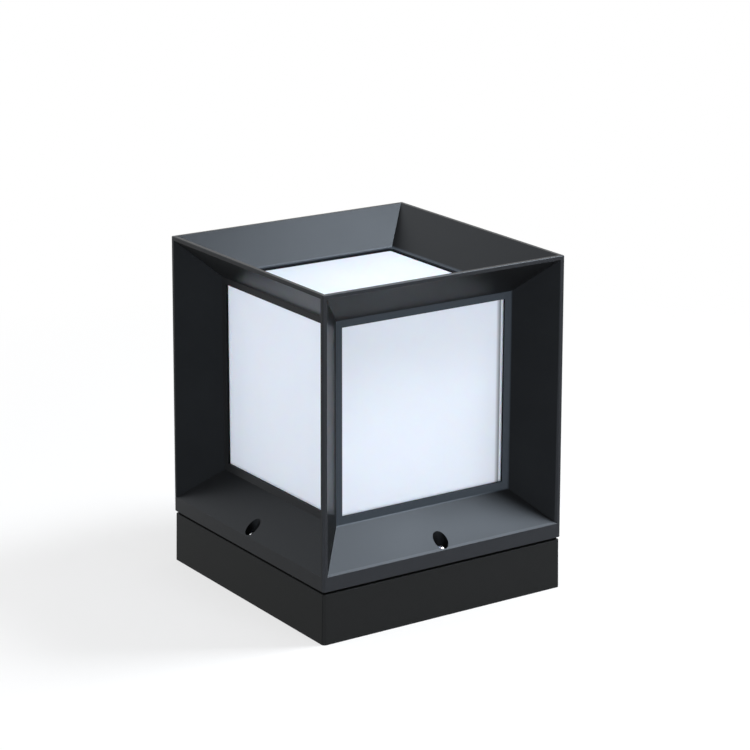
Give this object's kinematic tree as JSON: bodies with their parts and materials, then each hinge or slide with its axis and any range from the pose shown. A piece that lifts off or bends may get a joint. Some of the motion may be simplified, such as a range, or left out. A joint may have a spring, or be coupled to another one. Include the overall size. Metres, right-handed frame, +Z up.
{
  "type": "pillar light",
  "caption": "Square outdoor pillar light: black cast cube frame with bevelled recesses round opal windows, on a low base, with a screw-in lamp inside.",
  "frame": {"origin": "centre of the base's foot, on the surface that the light stands on", "axes": "+Z up through the lamp's axis, -Y towards the front face, +X to the right of that face"},
  "size_m": [0.2, 0.2, 0.2427],
  "materials": {
    "black_casting": "satin black powder coat on die-cast aluminium",
    "black_rubber": "matt black rubber",
    "pale_silicone": "matt pale silicone",
    "opal_diffuser": "opal white, smooth",
    "opal_lamp": "opal white, satin",
    "white_lamp_body": "white moulded plastic",
    "zinc_sheet": "zinc-plated sheet",
    "bright_stainless": "bright stainless steel",
    "zinc_screw": "zinc-plated steel",
    "tinned_copper": "tinned copper",
    "brass": "plain brass",
    "porcelain": "glazed off-white porcelain",
    "black_nylon": "black moulded nylon",
    "block_plastic": "off-white moulded plastic",
    "lamp_cap_metal": "nickelled thin sheet",
    "black_insulator": "black glass",
    "brown_lead": "brown insulation",
    "blue_lead": "blue insulation",
    "green_yellow_lead": "green and yellow insulation"
  },
  "bodies": {
    "base": {"base_housing": "black_casting", "joint_gasket": "black_rubber", "gland_body": "black_nylon", "gland_washer": "black_rubber", "gland_seal": "black_rubber", "gland_cap": "black_nylon", "gland_locknut": "black_nylon", "holder_bracket": "zinc_sheet", "bracket_screws": "zinc_screw", "holder_body": "porcelain", "holder_shell": "brass", "holder_contact": "brass", "holder_terminals": "brass", "holder_screws": "zinc_screw", "terminal_block": "block_plastic", "terminal_clamps": "brass", "terminal_screws": "zinc_screw", "block_screws": "zinc_screw", "earth_screw": "brass", "earth_washer": "zinc_screw", "earth_tag": "tinned_copper", "live_lead": "brown_lead", "neutral_lead": "blue_lead", "earth_lead": "green_yellow_lead"},
    "frame": {"cube_frame": "black_casting", "diffuser": "opal_diffuser", "diffuser_gasket": "pale_silicone", "diffuser_retainer": "zinc_sheet", "retainer_screws": "zinc_screw", "frame_screws": "bright_stainless", "frame_washers": "bright_stainless"},
    "lamp": {"lamp_cap": "lamp_cap_metal", "lamp_insulator": "black_insulator", "lamp_tip": "tinned_copper", "lamp_body": "white_lamp_body", "lamp_dome": "opal_lamp"}
  },
  "joints": [
    {"name": "frame_lift", "type": "slide", "parent": "base", "child": "frame", "axis": [0, 0, 1], "range_m": [0, 0.15]},
    {"name": "lamp_turn", "type": "hinge", "parent": "base", "child": "lamp", "pos_m": [0, 0, 0.08], "axis": [0, 0, 1], "range_deg": [0, 1800]}
  ]
}
